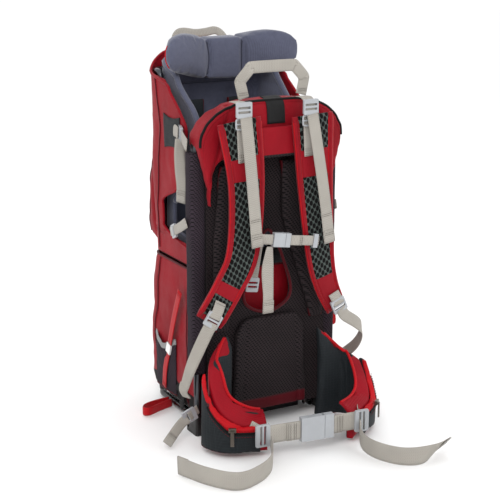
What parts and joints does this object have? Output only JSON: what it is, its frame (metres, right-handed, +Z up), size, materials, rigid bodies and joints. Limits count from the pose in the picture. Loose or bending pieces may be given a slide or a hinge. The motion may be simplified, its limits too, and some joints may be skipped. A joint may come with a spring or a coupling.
{
  "type": "baby carrier backpack",
  "caption": "Framed child carrier backpack with padded harness, hip belt, child seat with winged headrest, storage bag and folding stand.",
  "frame": {"origin": "middle of the base skid's underside, on the floor under the pack", "axes": "+X the wearer's right, -Y the side that lies on the wearer's back, +Z up"},
  "size_m": [0.5097, 0.6575, 0.805],
  "materials": {
    "frame_alloy": "satin",
    "stand_coat": "satin",
    "steel_pin": "satin",
    "zip_metal": "satin",
    "black_plastic": "matte",
    "grey_plastic": "satin",
    "white_plastic": "satin",
    "grip_rubber": "matte",
    "red_fabric": "woven",
    "red_webbing": "woven",
    "slate_fabric": "woven",
    "charcoal_fabric": "woven",
    "mesh_fabric": "mesh",
    "strap_mesh": "mesh",
    "grey_webbing": "woven",
    "panel_board": "matte"
  },
  "bodies": {
    "pack": {"frame_tube": "frame_alloy", "frame_crossbars": "frame_alloy", "seat_frame_tube": "frame_alloy", "frame_brackets": "black_plastic", "stand_pivot_pins": "steel_pin", "base_skid": "black_plastic", "storage_bag": "red_fabric", "storage_lid": "charcoal_fabric", "side_pockets": "mesh_fabric", "rear_pocket": "red_fabric", "rear_shell": "red_fabric", "cockpit_liner": "slate_fabric", "chin_pad": "slate_fabric", "child_harness_pads": "charcoal_fabric", "child_harness_buckle": "black_plastic", "back_panel": "panel_board", "back_mesh_pads": "mesh_fabric", "lumbar_pad": "mesh_fabric", "yoke_cap": "red_fabric", "yoke_patch": "grip_rubber", "pillar_covers": "mesh_fabric", "hip_wing_left": "charcoal_fabric", "hip_wing_right": "charcoal_fabric", "hip_pouch_left": "charcoal_fabric", "hip_pouch_right": "charcoal_fabric", "waist_buckle_socket": "grey_plastic", "waist_webbing": "grey_webbing", "pack_locks": "grey_plastic", "pack_straps": "grey_webbing", "stand_straps": "red_webbing", "stand_strap_hooks": "white_plastic"},
    "kickstand": {"kickstand_tube": "stand_coat", "kickstand_grip": "grip_rubber", "kickstand_pull_loop": "red_webbing"},
    "harness": {"shoulder_pad_left": "strap_mesh", "shoulder_pad_right": "strap_mesh", "harness_yoke": "red_fabric", "harness_locks": "grey_plastic", "lower_webbings": "grey_webbing", "load_lifters": "grey_webbing"},
    "sternum_strap": {"sternum_anchors": "grey_plastic", "sternum_webbing": "grey_webbing", "sternum_buckle_socket": "grey_plastic"},
    "sternum_plug": {"sternum_webbing_right": "grey_webbing", "sternum_buckle_plug": "grey_plastic"},
    "sternum_arm_upper": {"sternum_latch_upper": "grey_plastic"},
    "sternum_arm_lower": {"sternum_latch_lower": "grey_plastic"},
    "waist_plug": {"waist_webbing_right": "grey_webbing", "waist_buckle_plug": "grey_plastic"},
    "waist_arm_upper": {"waist_latch_upper": "grey_plastic"},
    "waist_arm_lower": {"waist_latch_lower": "grey_plastic"},
    "headrest": {"headrest_cushion": "slate_fabric"},
    "seat": {"seat_pad": "slate_fabric"},
    "zip_left": {"hip_zip_slider_left": "zip_metal"},
    "zip_left_pull": {"hip_zip_pull_left": "zip_metal"},
    "zip_right": {"hip_zip_slider_right": "zip_metal"},
    "zip_right_pull": {"hip_zip_pull_right": "zip_metal"},
    "front_handle": {"grab_handle_front": "grey_webbing"},
    "rear_handle": {"grab_handle_rear": "grey_webbing"},
    "stirrup": {"stirrup_right": "red_webbing"}
  },
  "joints": [
    {"name": "kickstand_fold", "type": "hinge", "parent": "pack", "child": "kickstand", "pos_m": [0, -0.03, 0.011], "axis": [-1, 0, 0], "range_deg": [0, 37]},
    {"name": "harness_height", "type": "slide", "parent": "pack", "child": "harness", "axis": [0, 0, 1], "range_m": [0, 0.04]},
    {"name": "sternum_height", "type": "slide", "parent": "harness", "child": "sternum_strap", "axis": [0, 0, 1], "range_m": [-0.03, 0.03]},
    {"name": "sternum_buckle_pull", "type": "slide", "parent": "sternum_strap", "child": "sternum_plug", "axis": [0.989, 0, -0.1476], "range_m": [0, 0.025]},
    {"name": "sternum_latch_upper_press", "type": "slide", "parent": "sternum_plug", "child": "sternum_arm_upper", "axis": [-0.1476, 0, -0.989], "range_m": [0, 0.002], "stiffness_N_per_m": 400},
    {"name": "sternum_latch_lower_press", "type": "slide", "parent": "sternum_plug", "child": "sternum_arm_lower", "axis": [0.1476, 0, 0.989], "range_m": [0, 0.002], "stiffness_N_per_m": 400},
    {"name": "waist_buckle_pull", "type": "slide", "parent": "pack", "child": "waist_plug", "axis": [0.9931, -0.1171, 0], "range_m": [0, 0.03]},
    {"name": "waist_latch_upper_press", "type": "slide", "parent": "waist_plug", "child": "waist_arm_upper", "axis": [0, 0, -1], "range_m": [0, 0.0033], "stiffness_N_per_m": 500},
    {"name": "waist_latch_lower_press", "type": "slide", "parent": "waist_plug", "child": "waist_arm_lower", "axis": [0, 0, 1], "range_m": [0, 0.0033], "stiffness_N_per_m": 500},
    {"name": "headrest_height", "type": "slide", "parent": "pack", "child": "headrest", "axis": [0, 0, 1], "range_m": [0, 0.04]},
    {"name": "seat_height", "type": "slide", "parent": "pack", "child": "seat", "axis": [0, 0, 1], "range_m": [-0.015, 0.06]},
    {"name": "hip_zip_left_slide", "type": "hinge", "parent": "pack", "child": "zip_left", "pos_m": [-0.11942, -0.14702, 0.064], "axis": [0, 0, 1], "range_deg": [-38, 9]},
    {"name": "hip_zip_left_pull_swing", "type": "hinge", "parent": "zip_left", "child": "zip_left_pull", "pos_m": [-0.15552, -0.20955, 0.064], "axis": [-0.866, 0.5, 0], "range_deg": [0, 80]},
    {"name": "hip_zip_right_slide", "type": "hinge", "parent": "pack", "child": "zip_right", "pos_m": [0.13354, -0.16786, 0.064], "axis": [0, 0, 1], "range_deg": [-5, 38]},
    {"name": "hip_zip_right_pull_swing", "type": "hinge", "parent": "zip_right", "child": "zip_right_pull", "pos_m": [0.17995, -0.22317, 0.064], "axis": [-0.766, -0.6428, 0], "range_deg": [0, 80]},
    {"name": "front_handle_bend", "type": "hinge", "parent": "pack", "child": "front_handle", "pos_m": [0, -0.0905, 0.692], "axis": [1, 0, 0], "range_deg": [-55, 15], "stiffness_Nm_per_rad": 0.12},
    {"name": "rear_handle_bend", "type": "hinge", "parent": "pack", "child": "rear_handle", "pos_m": [0, 0.209, 0.752], "axis": [1, 0, 0], "range_deg": [-60, 22], "stiffness_Nm_per_rad": 0.1},
    {"name": "stirrup_swing", "type": "hinge", "parent": "pack", "child": "stirrup", "pos_m": [0.194, 0.012, 0.33], "axis": [1, 0, 0], "range_deg": [-10, 32]}
  ]
}
